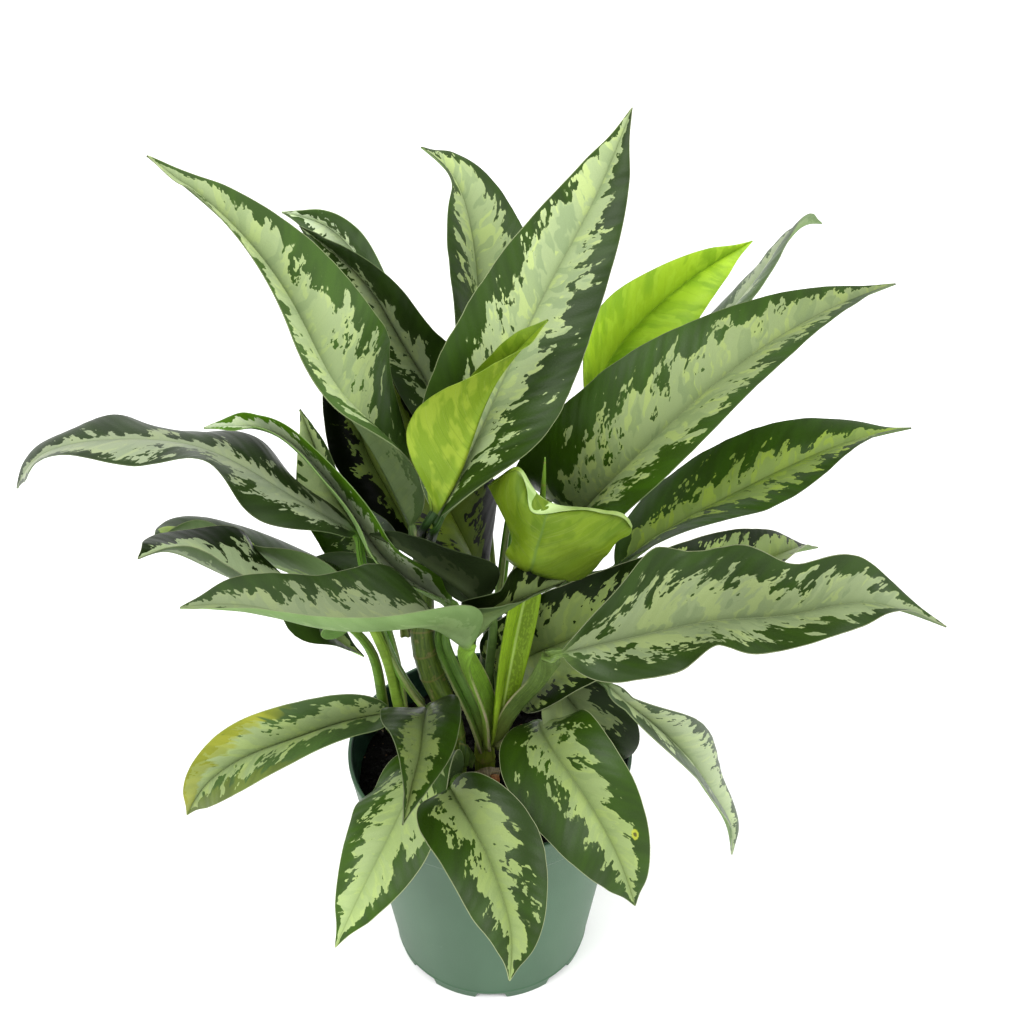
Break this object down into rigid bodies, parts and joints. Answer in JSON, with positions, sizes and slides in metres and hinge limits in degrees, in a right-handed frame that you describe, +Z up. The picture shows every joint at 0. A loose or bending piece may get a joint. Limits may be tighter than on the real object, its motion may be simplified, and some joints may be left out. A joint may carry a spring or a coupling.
{
  "type": "potted chinese evergreen",
  "caption": "Bushy house plant with lance-shaped silver-centred, dark-margined leaves on channelled stalks, rooted in soil in a tapered round nursery pot.",
  "frame": {"origin": "centre of the flat pad under the pot, level with its foot ring, on the surface the pot stands on", "axes": "+Z up along the pot's axis, -Y towards the front of the plant, +X to the right seen from the front"},
  "size_m": [0.445, 0.3119, 0.4735],
  "materials": {
    "pot_plastic": "matte green moulded plastic with fine scuffs",
    "potting_soil": "dark peat mix with bark fibres",
    "stem": "satin living stem with papery sheath margins",
    "variegated_leaf": "satin leaf, silver-green centre and dark green margin",
    "shaded_leaf": "satin leaf, mostly dark green",
    "young_leaf": "satin young leaf, bright lime green"
  },
  "bodies": {
    "root": {"pot": "pot_plastic", "soil": "potting_soil", "stem_a_front": "stem", "stem_b_cane": "stem", "stem_c_back": "stem", "stem_d_left": "stem", "spear": "young_leaf", "leaf_01_tall_centre": "variegated_leaf", "leaf_02_tall_left": "variegated_leaf", "leaf_03_back_left_outer": "variegated_leaf", "leaf_04_back_left": "variegated_leaf", "leaf_05_back_centre": "variegated_leaf", "leaf_06_lime_back_right": "young_leaf", "leaf_07_back_right_narrow": "variegated_leaf", "leaf_08_big_right": "variegated_leaf", "leaf_09_right": "variegated_leaf", "leaf_10_broad_right": "variegated_leaf", "leaf_11_right_behind": "variegated_leaf", "leaf_12_low_right_behind": "variegated_leaf", "leaf_13_low_right_hanging": "variegated_leaf", "leaf_14_front_right": "variegated_leaf", "leaf_15_front_centre": "variegated_leaf", "leaf_16_front_left": "variegated_leaf", "leaf_17_front_small": "variegated_leaf", "leaf_18_low_left_yellowing": "variegated_leaf", "leaf_19_left_folded": "variegated_leaf", "leaf_20_left_narrow": "variegated_leaf", "leaf_21_left_narrow_behind": "variegated_leaf", "leaf_22_far_left_twisted": "variegated_leaf", "leaf_23_left_edge_on": "variegated_leaf", "leaf_24_left_upright": "variegated_leaf", "leaf_25_shaded_upright": "shaded_leaf", "leaf_26_lime_rolled": "young_leaf", "leaf_27_lime_folded": "young_leaf", "leaf_28_shaded_centre": "shaded_leaf", "leaf_29_small_centre": "variegated_leaf", "leaf_30_silver_centre": "variegated_leaf", "leaf_31_left_under": "variegated_leaf"}
  },
  "joints": []
}
